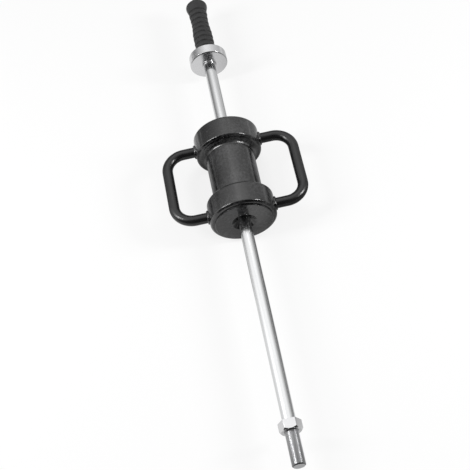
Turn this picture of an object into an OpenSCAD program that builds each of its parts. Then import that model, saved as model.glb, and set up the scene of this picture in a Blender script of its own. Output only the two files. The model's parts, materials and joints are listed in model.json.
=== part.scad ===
// Two-handed slide hammer puller. It lies as on a bench: +X runs along the rod from the
// threaded end to the grip, the handles lie level in the XY plane, and +Z is up.
// The origin is the centre of the threaded end's face. All lengths are millimetres.

/* [Rod] */
// Diameter of the polished shank
rod_d = 20; // [17:0.5:25]
// How much smaller the thread's major diameter is than the shank
thread_undersize = 0.2; // [0.1:0.05:0.4]
// Length of thread that stands free below the lock nut
thread_free = 51; // [30:1:90]
// Chamfer on the threaded end
thread_chamfer = 1.5; // [0.8:0.1:2.5]
// Place of the stop collar's striking face along the rod
strike_x = 736; // [700:1:900]
// Step in radius at each shoulder above the collar
shoulder_w = 2; // [1:0.1:2.2]

/* [Lock nut] */
// Height of the lock nut
nut_h = 15; // [8:0.5:20]
// Wall between the thread and the nut's flats
nut_wall = 5.1; // [3:0.1:8]

/* [Stop collar] */
// Diameter of the collar
collar_d = 64; // [50:1:80]
// Thickness of the collar
collar_t = 18.5; // [10:0.5:30]
// Chamfer on the collar's two edges
collar_chamfer = 1.3; // [0.5:0.1:3]
// Height of the small hub under the collar
hub_h = 5; // [2:0.5:7]
// Wall of the hub outside the shank
hub_wall = 1.8; // [1:0.1:4]
// Height of the thin nut behind the collar
jam_h = 8; // [5:0.5:12]
// Wall between the spigot and the thin nut's flats
jam_wall = 4; // [3:0.1:6]

/* [Grip] */
// Length of the rubber grip
grip_len = 123; // [105:1:160]
// Rubber left outside the thin nut's socket
grip_wall = 2.9; // [1.5:0.1:5]
// How much the waist is slimmer in radius than the root
waist_drop = 1.9; // [0:0.1:3]
// How much the end bulb is larger in radius than the root
bulb_rise = 1.6; // [0.5:0.1:4]
// Length of the end bulb, from where the grip begins to swell
bulb_len = 18.5; // [12:0.5:24]
// Rounding of the bulb's outer end
bulb_round = 5.5; // [3:0.1:7.5]
// Distance between the grip's grooves
groove_pitch = 11; // [8:0.5:15]
// Depth of the grip's grooves
groove_depth = 1.1; // [0.4:0.1:1.2]
// Wall of the hard core inside the grip
core_wall = 3; // [1.5:0.1:4]
// Thickness of the end washer
washer_t = 2; // [1:0.1:4]
// Height of the cap nut's hexagon
cap_hex_h = 6.5; // [5:0.5:10]
// Wall between the stud and the cap nut's flats
cap_wall = 2.5; // [1.5:0.1:4]

/* [Sliding weight] */
// Place of the lower flange's outer face along the rod, with the weight at rest
weight_x = 408; // [250:1:500]
// Length of the weight over its two flanges
weight_len = 170.5; // [140:0.5:200]
// Thickness of each flange
flange_t = 40; // [26:0.5:50]
// Chamfer on the flanges' edges
flange_chamfer = 3; // [1:0.1:5]
// Diameter of the barrel between the flanges
barrel_d = 79; // [66:0.5:100]
// How far the flanges stand out beyond the barrel
flange_rise = 13.7; // [9:0.1:22]
// Leg of the fillet weld between barrel and flange
weld_leg = 9; // [4:0.5:12]
// Width of the flange's rim round its end plate
rim_w = 7; // [4:0.1:9]
// Thickness of the end plates
plate_t = 12.3; // [8:0.1:16]
// How far an end plate stands proud of its flange
plate_proud = 2.3; // [0.5:0.1:5]
// How far the end plate's conical mouth is wider in radius than the lock nut's corners
nut_clear = 2.7; // [1:0.1:4]
// Room round the rod in the end plate's hole
plate_clear = 1; // [0.5:0.1:3]

/* [Guide sleeve] */
// Wall of the bronze bushes
bush_wall = 1.95; // [1:0.05:3]
// Length of each bush
bush_len = 24; // [12:1:40]
// Wall of the steel sleeve
sleeve_wall = 3; // [2:0.1:5]
// Thickness of the circlips
circlip_t = 1.2; // [0.8:0.1:2]
// Distance from the barrel's end to its circlip
circlip_inset = 3.4; // [2:0.1:8]

/* [Handles] */
// Diameter of the handle bar
handle_bar_d = 17; // [12:0.5:20]
// Distance from the rod's axis to the middle of a handle's bar
handle_reach = 103.8; // [98:0.2:130]
// Radius of the handle's bends, to the middle of the bar
handle_bend = 30; // [20:0.5:34]
// Size of the weld beads at the handle's ends
bead_size = 3; // [2:0.1:4.5]

/* [Hidden] */
$fn = 96;

// Clearances
run_gap = 0.05;
seat_gap = 0.05;
end_play = 0.3;
overrun = 1;

// Rod
rod_r = rod_d / 2;
thread_r = rod_r - thread_undersize / 2;
spigot_r = rod_r - shoulder_w;
tang_r = spigot_r - shoulder_w;
stud_r = tang_r - shoulder_w;
// a plain thread valley, where the lock nut's face stands
valley_w = 0.8;
valley_depth = 0.5;
// the relief at the thread's inner end, covered by the nut
relief_w = 4;
relief_depth = 0.7;
nut_top_x = thread_free + nut_h;
shank_x = nut_top_x + end_play;
hub_x = strike_x - hub_h;
collar_top_x = strike_x + collar_t;
jam_top_x = collar_top_x + jam_h;
grip_end_x = collar_top_x + grip_len;
core_stop = 4;
tang_end_x = grip_end_x - core_stop;
washer_end_x = grip_end_x + washer_t;
stud_out = 9;
stud_chamfer = 0.8;
stud_end_x = washer_end_x + stud_out;

// Hexagons
hex_sides = 6;
hex_half_turn = 30;
// corner radius of a hexagon for its radius over the flats
function hex_corner(flat_r) = flat_r / cos(hex_half_turn);
nut_flat_r = thread_r + nut_wall;
nut_corner_r = hex_corner(nut_flat_r);
jam_flat_r = spigot_r + jam_wall;
jam_corner_r = hex_corner(jam_flat_r);
cap_flat_r = stud_r + cap_wall;
// how steeply a hexagon's corners are cut off
nut_corner_angle = 45;
// countersink at a nut's bore
nut_sink = 1.2;

// Collar and grip
collar_r = collar_d / 2;
hub_r = rod_r + hub_wall;
hub_chamfer = 1.1;
core_r = tang_r + core_wall;
socket_r = jam_corner_r + end_play;
grip_root_r = socket_r + grip_wall;
grip_waist_r = grip_root_r - waist_drop;
grip_neck_r = grip_root_r - bulb_rise / 2;
bulb_r = grip_root_r + bulb_rise;
root_straight = 46;
waist_from_end = 46;
taper_steps = 8;
groove_w = 2.6;
groove_first = 14.5;
groove_last_from_end = 19;
groove_count = floor((grip_len - groove_first - groove_last_from_end) / groove_pitch) + 1;
round_steps = 8;
washer_r = core_r + washer_t / 2;
cap_dome_h = 8.5;
cap_shell = 2;

// Sliding weight
barrel_r = barrel_d / 2;
flange_r = barrel_r + flange_rise;
plate_r = flange_r - rim_w;
plate_chamfer = 0.6;
mouth_r = nut_corner_r + nut_clear;
plate_bore_r = rod_r + plate_clear;
// the mouth's cone stops at least this far from the plate's inner face
mouth_stop = 1;
mouth_depth = min(mouth_r - plate_bore_r, plate_t - mouth_stop);
plate_seat = plate_t - plate_proud;
weight_end_x = weight_x + weight_len;
barrel_x = weight_x + plate_seat;
barrel_len = weight_len - 2 * plate_seat;
barrel_chamfer = 0.5;
flange_face_r = flange_r - flange_chamfer;
fillet = min(weld_leg, flange_face_r - barrel_r);
// the fillet's toes stop this many degrees short of the surfaces
toe_angle = 12;
fillet_steps = 10;

// Guide sleeve
bush_bore_r = rod_r + run_gap;
bush_r = bush_bore_r + bush_wall;
sleeve_r = bush_r + sleeve_wall;
barrel_bore_r = sleeve_r + run_gap;
groove_in_bore = 0.7;
circlip_in_r = barrel_bore_r - 2;
circlip_out_r = barrel_bore_r + groove_in_bore - seat_gap;
circlip_gap = 7;
circlip_lug = 2.6;
circlip_eye = 0.8;
sleeve_inset = circlip_inset + circlip_t + end_play;
sleeve_x = barrel_x + sleeve_inset;
sleeve_len = barrel_len - 2 * sleeve_inset;
bush_chamfer = 0.5;

// Handles
bar_r = handle_bar_d / 2;
arm_lo_x = weight_x + flange_t / 2;
arm_hi_x = weight_end_x - flange_t / 2;
arm_end = handle_reach - handle_bend;
bead_steps = 6;
// the bead starts below the crown of the flange, where the round side falls away
bead_in_r = bar_r + seat_gap;
bead_out_r = bead_in_r + bead_size;
bead_sink = flange_r - sqrt(flange_r * flange_r - bead_out_r * bead_out_r);

// Colours
bright_steel = [0.78, 0.79, 0.80];
black_paint = [0.13, 0.13, 0.14];
handle_black = [0.07, 0.07, 0.08];
black_rubber = [0.20, 0.20, 0.20];
core_grey = [0.35, 0.36, 0.38];
bronze = [0.72, 0.52, 0.28];
plain_steel = [0.55, 0.56, 0.58];

// A profile of [radius, x] points, turned about the rod's axis
module turned(profile) {
    rotate([0, 90, 0]) rotate_extrude() polygon(profile);
}

// A tube profile from x0 to x1 with chamfers on its outer edges
function tube_profile(inner, outer, x0, x1, c0, c1) = [
    [inner, x0], [outer - c0, x0], [outer, x0 + c0], [outer, x1 - c1], [outer - c1, x1], [inner, x1]
];

// A value that leaves a and reaches b smoothly while share runs from 0 to 1
function eased(a, b, share) = a + (b - a) * (1 - cos(180 * share)) / 2;

// A cylinder along the rod's axis
module along_rod(r, x0, x1) {
    translate([x0, 0, 0]) rotate([0, 90, 0]) cylinder(r = r, h = x1 - x0);
}

// A hexagonal block along the rod's axis with two flats level
module hex_block(flat_r, x0, x1) {
    translate([x0, 0, 0]) rotate([0, 90, 0]) rotate([0, 0, hex_half_turn])
        cylinder(r = hex_corner(flat_r), h = x1 - x0, $fn = hex_sides);
}

// A hexagonal nut whose corners are cut off at the end nearer the thread's face, or at both ends
module hex_nut(flat_r, bore_r, x0, x1, both_ends) {
    corner_r = hex_corner(flat_r);
    cut = (corner_r - flat_r) * tan(nut_corner_angle);
    top_cut = both_ends ? cut : 0;
    difference() {
        intersection() {
            hex_block(flat_r, x0, x1);
            turned([
                [0, x0], [flat_r, x0], [corner_r, x0 + cut], [corner_r, x1 - top_cut],
                [both_ends ? flat_r : corner_r, x1], [0, x1]
            ]);
        }
        along_rod(bore_r, x0 - overrun, x1 + overrun);
        turned([
            [0, x0 - overrun], [bore_r + nut_sink + overrun, x0 - overrun],
            [bore_r, x0 + nut_sink], [0, x0 + nut_sink]
        ]);
        turned([
            [0, x1 - nut_sink], [bore_r, x1 - nut_sink],
            [bore_r + nut_sink + overrun, x1 + overrun], [0, x1 + overrun]
        ]);
    }
}

module rod() {
    thread_end_x = nut_top_x - relief_w;
    valley_x = thread_free - valley_w;
    color(bright_steel) turned([
        [0, 0], [thread_r - thread_chamfer, 0], [thread_r, thread_chamfer],
        [thread_r, valley_x], [thread_r - valley_depth, valley_x],
        [thread_r - valley_depth, thread_free], [thread_r, thread_free],
        [thread_r, thread_end_x], [thread_r - relief_depth, thread_end_x + relief_depth],
        [thread_r - relief_depth, shank_x], [rod_r, shank_x],
        [rod_r, hub_x], [spigot_r, hub_x],
        [spigot_r, jam_top_x], [tang_r, jam_top_x],
        [tang_r, tang_end_x], [stud_r, tang_end_x],
        [stud_r, stud_end_x - stud_chamfer], [stud_r - stud_chamfer, stud_end_x], [0, stud_end_x]
    ]);
}

module lock_nut() {
    color(bright_steel) hex_nut(nut_flat_r, thread_r + run_gap, thread_free, nut_top_x, false);
}

module stop_collar() {
    bore_r = spigot_r + seat_gap;
    color(bright_steel) turned([
        [bore_r, hub_x], [hub_r - hub_chamfer, hub_x], [hub_r, hub_x + hub_chamfer], [hub_r, strike_x],
        [collar_r - collar_chamfer, strike_x], [collar_r, strike_x + collar_chamfer],
        [collar_r, collar_top_x - collar_chamfer], [collar_r - collar_chamfer, collar_top_x],
        [bore_r, collar_top_x]
    ]);
}

module collar_nut() {
    color(plain_steel) hex_nut(jam_flat_r, spigot_r + seat_gap, collar_top_x, jam_top_x, true);
}

module grip_core() {
    color(core_grey) turned(tube_profile(tang_r + seat_gap, core_r, jam_top_x, grip_end_x, 0, 0));
}

// The grip's outer radius at a distance from its root
function grip_radius(along) =
    let (
        waist = grip_len - waist_from_end,
        neck = grip_len - bulb_len,
        crown = grip_len - bulb_round
    )
    along <= root_straight ? grip_root_r :
    along <= waist ? eased(grip_root_r, grip_waist_r, (along - root_straight) / (waist - root_straight)) :
    along <= neck ? eased(grip_waist_r, grip_neck_r, (along - waist) / (neck - waist)) :
    eased(grip_neck_r, bulb_r, (along - neck) / (crown - neck));

module grip() {
    waist = grip_len - waist_from_end;
    neck = grip_len - bulb_len;
    crown = grip_len - bulb_round;
    down = [for (i = [0:taper_steps]) root_straight + (waist - root_straight) * i / taper_steps];
    up = [for (i = [1:taper_steps]) waist + (neck - waist) * i / taper_steps];
    swell = [for (i = [1:taper_steps]) neck + (crown - neck) * i / taper_steps];
    color(black_rubber) difference() {
        turned(concat(
            [[core_r + seat_gap, collar_top_x], [grip_root_r, collar_top_x]],
            [for (along = concat(down, up, swell)) [grip_radius(along), collar_top_x + along]],
            [for (i = [1:round_steps])
                let (a = 90 * i / round_steps)
                [bulb_r - bulb_round + bulb_round * cos(a), grip_end_x - bulb_round + bulb_round * sin(a)]],
            [[core_r + seat_gap, grip_end_x]]
        ));
        along_rod(socket_r, collar_top_x - overrun, jam_top_x + end_play);
        for (i = [0:groove_count - 1])
            let (along = groove_first + groove_pitch * i, r = grip_radius(along), x = collar_top_x + along)
            turned([
                [r - groove_depth, x - groove_w / 6], [r - groove_depth, x + groove_w / 6],
                [r + groove_depth, x + groove_w], [r + groove_depth, x - groove_w]
            ]);
    }
}

module end_washer() {
    color(bright_steel) turned(tube_profile(stud_r + seat_gap, washer_r, grip_end_x, washer_end_x, 0, 0));
}

module end_cap_nut() {
    corner_r = hex_corner(cap_flat_r);
    cut = (corner_r - cap_flat_r) * tan(nut_corner_angle);
    hex_top_x = washer_end_x + cap_hex_h;
    dome_r = cap_flat_r - run_gap;
    dome_x = hex_top_x - cut;
    dome_h = cap_dome_h + cut;
    color(bright_steel) difference() {
        union() {
            intersection() {
                hex_block(cap_flat_r, washer_end_x, hex_top_x);
                turned([
                    [0, washer_end_x], [corner_r, washer_end_x], [corner_r, hex_top_x - cut],
                    [cap_flat_r, hex_top_x], [0, hex_top_x]
                ]);
            }
            turned(concat(
                [[0, dome_x - cut], [dome_r, dome_x - cut]],
                [for (i = [0:round_steps])
                    let (a = 90 * i / round_steps)
                    [dome_r * cos(a), dome_x + dome_h * sin(a)]]
            ));
        }
        along_rod(stud_r + seat_gap, washer_end_x - overrun, stud_end_x + cap_shell / 2);
    }
}

module guide_sleeve() {
    sleeve_end_x = sleeve_x + sleeve_len;
    relieved_r = rod_r + bush_wall / 2;
    color(plain_steel) difference() {
        turned(tube_profile(relieved_r, sleeve_r, sleeve_x, sleeve_end_x, bush_chamfer, bush_chamfer));
        along_rod(bush_r + seat_gap, sleeve_x - overrun, sleeve_x + bush_len);
        along_rod(bush_r + seat_gap, sleeve_end_x - bush_len, sleeve_end_x + overrun);
    }
}

// A bronze bush that starts at x0
module bush(x0) {
    color(bronze) turned(tube_profile(bush_bore_r, bush_r, x0, x0 + bush_len, bush_chamfer, bush_chamfer));
}

module bush_lower() {
    bush(sleeve_x);
}

module bush_upper() {
    bush(sleeve_x + sleeve_len - bush_len);
}

module barrel() {
    groove_r = barrel_bore_r + groove_in_bore;
    barrel_end_x = barrel_x + barrel_len;
    color(black_paint) difference() {
        turned(tube_profile(
            barrel_bore_r, barrel_r, barrel_x, barrel_end_x, barrel_chamfer, barrel_chamfer
        ));
        along_rod(groove_r, barrel_x + circlip_inset, barrel_x + circlip_inset + circlip_t);
        along_rod(groove_r, barrel_end_x - circlip_inset - circlip_t, barrel_end_x - circlip_inset);
    }
}

// A flange with its outer face at x0, facing the thread. The end plate sits in its counterbore.
module flange(x0) {
    color(black_paint) difference() {
        turned(tube_profile(
            barrel_r + seat_gap, flange_r, x0, x0 + flange_t, flange_chamfer, flange_chamfer
        ));
        along_rod(plate_r, x0 - overrun, x0 + plate_seat);
    }
}

// An end plate with its outer face at x0, facing the thread
module end_plate(x0) {
    color(black_paint) turned([
        [mouth_r, x0], [plate_r - seat_gap - plate_chamfer, x0],
        [plate_r - seat_gap, x0 + plate_chamfer], [plate_r - seat_gap, x0 + plate_t],
        [plate_bore_r, x0 + plate_t], [plate_bore_r, x0 + mouth_depth]
    ]);
}

// The concave fillet weld between barrel and flange, on the flange face at x0 and growing towards +X
module barrel_weld(x0) {
    toe_span = 90 - 2 * toe_angle;
    toe = fillet - fillet * sin(toe_angle);
    color(black_paint) turned(concat(
        [[barrel_r + seat_gap, x0], [barrel_r + toe, x0]],
        [for (i = [0:fillet_steps])
            let (a = toe_angle + toe_span * i / fillet_steps)
            [barrel_r + fillet - fillet * sin(a), x0 + fillet - fillet * cos(a)]],
        [[barrel_r + seat_gap, x0 + toe]]
    ));
}

// Turns a piece of the lower end about the weight's middle, so that it serves the upper end
module upper_end() {
    translate([weight_x + weight_end_x, 0, 0]) mirror([1, 0, 0]) children();
}

module flange_lower() {
    flange(weight_x);
}

module flange_upper() {
    upper_end() flange(weight_x);
}

module end_plate_lower() {
    end_plate(weight_x - plate_proud);
}

module end_plate_upper() {
    upper_end() end_plate(weight_x - plate_proud);
}

module barrel_weld_lower() {
    barrel_weld(weight_x + flange_t);
}

module barrel_weld_upper() {
    upper_end() barrel_weld(weight_x + flange_t);
}

module circlip_lower() {
    x0 = barrel_x + circlip_inset;
    color(plain_steel) difference() {
        union() {
            difference() {
                along_rod(circlip_out_r, x0, x0 + circlip_t);
                along_rod(circlip_in_r, x0 - overrun, x0 + circlip_t + overrun);
                translate([x0 - overrun, -circlip_gap / 2, 0])
                    cube([circlip_t + 2 * overrun, circlip_gap, circlip_out_r + overrun]);
            }
            for (side = [-1, 1])
                translate([0, side * (circlip_gap / 2 + circlip_lug / 2), circlip_in_r - circlip_lug / 4])
                    along_rod(circlip_lug / 2, x0, x0 + circlip_t);
        }
        for (side = [-1, 1])
            translate([0, side * (circlip_gap / 2 + circlip_lug / 2), circlip_in_r - circlip_lug / 4])
                along_rod(circlip_eye, x0 - overrun, x0 + circlip_t + overrun);
    }
}

module circlip_upper() {
    upper_end() circlip_lower();
}

// One arm of the handle, from the flange's side to the bend
module handle_arm(x) {
    translate([x, 0, 0]) rotate([-90, 0, 0]) cylinder(r = bar_r, h = arm_end);
}

module handle_left() {
    bend_lo_x = arm_lo_x + handle_bend;
    bend_hi_x = arm_hi_x - handle_bend;
    color(handle_black) difference() {
        union() {
            handle_arm(arm_lo_x);
            handle_arm(arm_hi_x);
            translate([bend_lo_x, arm_end, 0]) rotate([0, 0, 90])
                rotate_extrude(angle = 90) translate([handle_bend, 0]) circle(r = bar_r);
            translate([bend_hi_x, arm_end, 0])
                rotate_extrude(angle = 90) translate([handle_bend, 0]) circle(r = bar_r);
            translate([bend_lo_x, handle_reach, 0]) rotate([0, 90, 0])
                cylinder(r = bar_r, h = bend_hi_x - bend_lo_x);
        }
        along_rod(flange_r + seat_gap, weight_x - overrun, weight_end_x + overrun);
    }
}

module handle_right() {
    mirror([0, 1, 0]) handle_left();
}

// The round weld bead where a handle arm meets the flange
module handle_bead(x) {
    color(black_paint) difference() {
        translate([x, 0, 0]) rotate([-90, 0, 0]) rotate_extrude() polygon(concat(
            [[bead_in_r, flange_r - bead_sink], [bead_in_r + bead_size, flange_r - bead_sink]],
            [for (i = [0:bead_steps])
                let (a = 90 * i / bead_steps)
                [bead_in_r + bead_size * cos(a), flange_r + bead_size * sin(a)]]
        ));
        along_rod(flange_r + seat_gap, x - flange_t / 2, x + flange_t / 2);
    }
}

module handle_weld_left_lower() {
    handle_bead(arm_lo_x);
}

module handle_weld_left_upper() {
    handle_bead(arm_hi_x);
}

module handle_weld_right_lower() {
    mirror([0, 1, 0]) handle_bead(arm_lo_x);
}

module handle_weld_right_upper() {
    mirror([0, 1, 0]) handle_bead(arm_hi_x);
}

rod();
lock_nut();
stop_collar();
collar_nut();
grip_core();
grip();
end_washer();
end_cap_nut();
guide_sleeve();
bush_lower();
bush_upper();
barrel();
flange_lower();
flange_upper();
end_plate_lower();
end_plate_upper();
barrel_weld_lower();
barrel_weld_upper();
circlip_lower();
circlip_upper();
handle_left();
handle_right();
handle_weld_left_lower();
handle_weld_left_upper();
handle_weld_right_lower();
handle_weld_right_upper();
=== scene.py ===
"""Slide hammer puller: the visible pieces, finishes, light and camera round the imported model."""

import json
import math

import bpy
from mathutils import Matrix, Vector


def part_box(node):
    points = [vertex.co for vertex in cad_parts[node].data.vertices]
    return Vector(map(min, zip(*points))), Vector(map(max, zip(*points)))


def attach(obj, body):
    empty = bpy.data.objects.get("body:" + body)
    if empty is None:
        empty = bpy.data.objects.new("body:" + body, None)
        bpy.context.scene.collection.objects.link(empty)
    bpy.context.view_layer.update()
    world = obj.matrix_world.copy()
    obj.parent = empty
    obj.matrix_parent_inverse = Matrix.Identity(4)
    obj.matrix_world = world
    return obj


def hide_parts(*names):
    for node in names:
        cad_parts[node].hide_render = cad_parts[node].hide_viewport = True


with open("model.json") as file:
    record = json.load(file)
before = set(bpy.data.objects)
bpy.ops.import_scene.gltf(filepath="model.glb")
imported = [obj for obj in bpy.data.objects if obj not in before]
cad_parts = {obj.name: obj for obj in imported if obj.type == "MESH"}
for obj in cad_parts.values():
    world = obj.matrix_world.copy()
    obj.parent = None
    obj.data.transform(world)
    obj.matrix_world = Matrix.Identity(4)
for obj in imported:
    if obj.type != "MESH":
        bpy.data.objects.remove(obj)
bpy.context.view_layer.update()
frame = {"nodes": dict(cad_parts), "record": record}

# Every length is in metres, in the frame's own axes: +X along the rod, +Z up.
MM = 0.001
CLOSE = 0.1 * MM


def surface(node):
    """Each point of a node's surface: its place along the rod and its distance from the axis."""
    return [(v.co.x, math.hypot(v.co.y, v.co.z)) for v in frame["nodes"][node].data.vertices]


def radii(node):
    """The least and greatest distance of a node's surface from the rod's axis."""
    reach = [r for _, r in surface(node)]
    return min(reach), max(reach)


def along(node):
    """Where a node starts and ends along the rod."""
    low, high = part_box(node)
    return low.x, high.x


def bore_start(node):
    """Where a node's narrowest bore starts along the rod."""
    narrow = radii(node)[0] + CLOSE
    return min(x for x, r in surface(node) if r < narrow)


def mouth_radius(node):
    """The least radius of a node at its lower end."""
    limit = along(node)[0] + CLOSE
    return min(r for x, r in surface(node) if x < limit)


# Sizes that the frame gives
thread_mount = next(m for m in frame["record"]["mounts"] if m["name"] == "thread_end")
THREAD_R = thread_mount["dims"]["r_mm"] * MM
ROD_R = radii("rod")[1]
ROD_END_X = along("rod")[1]
NUT_X, NUT_TOP_X = along("lock_nut")
NUT_FLAT_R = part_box("lock_nut")[1].z
NUT_BORE_R = radii("lock_nut")[0]
HUB_X, COLLAR_TOP_X = along("stop_collar")
SPIGOT_R, COLLAR_R = radii("stop_collar")
JAM_TOP_X = along("collar_nut")[1]
TANG_R, CORE_R = radii("grip_core")
GRIP_END_X = along("grip")[1]
BULB_R = radii("grip")[1]
WASHER_END_X = along("end_washer")[1]
STUD_R, WASHER_R = radii("end_washer")
CAP_END_X = along("end_cap_nut")[1]
CAP_FLAT_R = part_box("end_cap_nut")[1].z
BARREL_X, BARREL_END_X = along("barrel")
BARREL_BORE_R, BARREL_R = radii("barrel")
FLANGE_X, FLANGE_INNER_X = along("flange_lower")
FLANGE_R = radii("flange_lower")[1]
PLATE_X, PLATE_SEAT_X = along("end_plate_lower")
PLATE_BORE_R, PLATE_R = radii("end_plate_lower")
MOUTH_FLOOR_X = bore_start("end_plate_lower")
MOUTH_R = mouth_radius("end_plate_lower")
WELD_END_X = along("barrel_weld_lower")[1]
WELD_OUT_R = radii("barrel_weld_lower")[1]
WEIGHT_MIDDLE_X = (BARREL_X + BARREL_END_X) / 2
HANDLE_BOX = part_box("handle_left")
BAR_R = HANDLE_BOX[1].z
HANDLE_REACH = HANDLE_BOX[1].y - BAR_R
ARM_LOWER_X = HANDLE_BOX[0].x + BAR_R
ARM_UPPER_X = HANDLE_BOX[1].x - BAR_R

# Thread. A flank starts and ends at these shares of the way from crest to root.
THREAD_PITCH = 1.5 * MM
THREAD_DEPTH = 0.65 * MM
THREAD_FLANK = (0.42, 0.88)
THREAD_CHAMFER = 1.5 * MM
THREAD_RUNOUT = 2.5 * MM
# A ring at this share of the end face keeps the face's shading flat.
FACE_SHARE = 0.97
RELIEF_LENGTH = 4 * MM
RELIEF_R = THREAD_R - 0.9 * MM
RINGS_PER_PITCH = 10

# Rod
SHOULDER_GAP = 0.3 * MM
SHOULDER_CHAMFER = 0.5 * MM
STUD_SHORT = 1 * MM
ROD_SIDES = 80

# Collar and hub
STRIKE_X = HUB_X + 5 * MM
HUB_R = ROD_R + 1.8 * MM
HUB_ROUND = 1.4 * MM
STRIKE_ROUND = 1.2 * MM
COLLAR_CHAMFER = 1.3 * MM
COLLAR_ROUND = 0.4 * MM
COLLAR_SIDES = 144

# Hexagons of the lock nut and the end cap
HEX_TURN = math.radians(60)
HEX_SIDE_STEPS = 10
HEX_ROUND_STEPS = 4
HEX_FACE_SHARE = 0.985
CORNER_SLOPE = math.tan(math.radians(45))
NUT_SINK = 1.2 * MM
NUT_CORNER_ROUND = 0.9 * MM
NUT_EDGE_ROUND = 0.35 * MM
CAP_HEX_HEIGHT = 6.5 * MM
CAP_CORNER_ROUND = 0.5 * MM
CAP_EDGE_ROUND = 0.2 * MM
DOME_STEPS = 10
WASHER_SIDES = 72

# Grip
GRIP_ROOT_R = BULB_R - 1.6 * MM
GRIP_WAIST_R = GRIP_ROOT_R - 1.9 * MM
GRIP_NECK_R = GRIP_ROOT_R - 0.8 * MM
GRIP_STRAIGHT = 46 * MM
WAIST_FROM_END = 46 * MM
BULB_LENGTH = 18.5 * MM
BULB_ROUND = 5.5 * MM
BULB_ROUND_STEPS = 12
ROOT_ROUND = 0.8 * MM
ROOT_ROUND_STEPS = 4
GROOVE_FIRST = 14.5 * MM
GROOVE_PITCH = 11 * MM
GROOVE_COUNT = 9
GROOVE_WIDTH = 4.4 * MM
GROOVE_DEPTH = 1.4 * MM
BAND_CROWN = 0.35 * MM
GRIP_STEP = 0.5 * MM
GRIP_SIDES = 96

# Weight
FLANGE_CHAMFER = 3 * MM
FLANGE_ROUND = 3.2 * MM
FLANGE_SIDES = 160
RIM_CHAMFER = 0.6 * MM
PAINT_ROUND = 0.5 * MM
BARREL_ROUND = 0.3 * MM
BARREL_SIDES = 128

# Welds. A ripple's two ends lie a quarter of its bow ahead of its middle, counted in ripples.
WELD_TOE = math.radians(10)
WELD_STEPS = 12
WELD_SHARES = [step / WELD_STEPS for step in range(WELD_STEPS + 1)]
WELD_BURY = 0.4 * MM
WELD_BOW = 1.6
BEAD_SIZE = 3.0 * MM
BEAD_ROOT = 1.6 * MM
BEAD_FULLNESS = 0.9
BEAD_BOW = 1.2
RIPPLE_PITCH = 2.4 * MM
RIPPLE_HEIGHT = 0.13 * MM
RIPPLE_STEPS = 7
RIPPLE_CURVE = 2.0
UNEVEN_SCALE = 160.0
UNEVEN_SHARE = 0.7

# Handles
HANDLE_BEND = 30 * MM
HANDLE_SEAT = 1.5 * MM
BEND_STEPS = 20
BAR_SIDES = 48

# Outlines and meshes
ROUND_STEPS = 5
ROUND_SHARE = 0.45
EDGE_BAND = 0.35 * MM
ROOM_FOR_BANDS = 4
SHARP_ANGLE = math.radians(28)
ON_AXIS = 1e-6
SAME_POINT = 1e-7


def mirrored(corners):
    """The same outline at the weight's other end."""
    return [(2 * WEIGHT_MIDDLE_X - corner[0], *corner[1:]) for corner in corners]


def corner_arc(before, here, after, rounding):
    """The points of an arc that rounds off a corner."""
    back = before - here
    on = after - here
    half_angle = back.angle(on) / 2
    reach = rounding / math.tan(half_angle)
    reach = min(reach, ROUND_SHARE * back.length, ROUND_SHARE * on.length)
    rounding = reach * math.tan(half_angle)
    back.normalize()
    on.normalize()
    start = here + back * reach
    end = here + on * reach
    middle = here + (back + on).normalized() * (rounding / math.sin(half_angle))
    spoke = start - middle
    sweep = spoke.angle_signed(end - middle)
    return [middle + Matrix.Rotation(-sweep * step / ROUND_STEPS, 2) @ spoke
            for step in range(ROUND_STEPS + 1)]


def softened(corners, closed=True):
    """An outline of (x, r) points from (x, r, round) corners, each an arc of that radius.

    A short band beside each arc keeps the flats' shading flat.
    """
    points = []
    count = len(corners)
    for i, (x, r, rounding) in enumerate(corners):
        here = Vector((x, r))
        inner = closed or 0 < i < count - 1
        if inner and rounding > 0:
            before = Vector(corners[i - 1][:2])
            after = Vector(corners[(i + 1) % count][:2])
            points.extend(corner_arc(before, here, after, rounding))
        else:
            points.append(here)
    banded = []
    spans = len(points) if closed else len(points) - 1
    for i, here in enumerate(points):
        banded.append(here)
        way = points[(i + 1) % len(points)] - here
        if i < spans and way.length > ROOM_FOR_BANDS * EDGE_BAND:
            banded.append(here + way.normalized() * EDGE_BAND)
            banded.append(here + way - way.normalized() * EDGE_BAND)
    return [(point.x, max(point.y, 0.0)) for point in banded]


def stepped(start, end, steps):
    """Evenly spaced (x, r) points from start to end, without end itself."""
    return [tuple(a + (b - a) * i / steps for a, b in zip(start, end)) for i in range(steps)]


def smooth(mesh):
    """Smooth shading that breaks only at true edges."""
    mesh.shade_smooth()
    mesh.set_sharp_from_angle(angle=SHARP_ANGLE)


def new_piece(name, verts, faces, finish):
    """A closed, smooth mesh object with its normals outwards."""
    mesh = bpy.data.meshes.new(name)
    mesh.from_pydata(verts, [], faces)
    volume = 0.0
    for face in mesh.polygons:
        first, *others = [mesh.vertices[index].co for index in face.vertices]
        for second, third in zip(others, others[1:]):
            volume += first.dot(second.cross(third))
    if volume < 0:
        mesh.flip_normals()
    smooth(mesh)
    mesh.materials.append(finish)
    piece = bpy.data.objects.new(name, mesh)
    bpy.context.scene.collection.objects.link(piece)
    return piece


def ring_faces(rings, closed):
    """The faces between rings of equally many points. A pole's repeated point closes a triangle."""
    faces = []
    for i in range(len(rings) if closed else len(rings) - 1):
        low = rings[i]
        high = rings[(i + 1) % len(rings)]
        for k in range(len(low)):
            n = (k + 1) % len(low)
            corners = [low[k], low[n], high[n], high[k]]
            corners = [c for j, c in enumerate(corners) if c != corners[j - 1]]
            if len(corners) > 2:
                faces.append(corners)
    return faces


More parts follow.
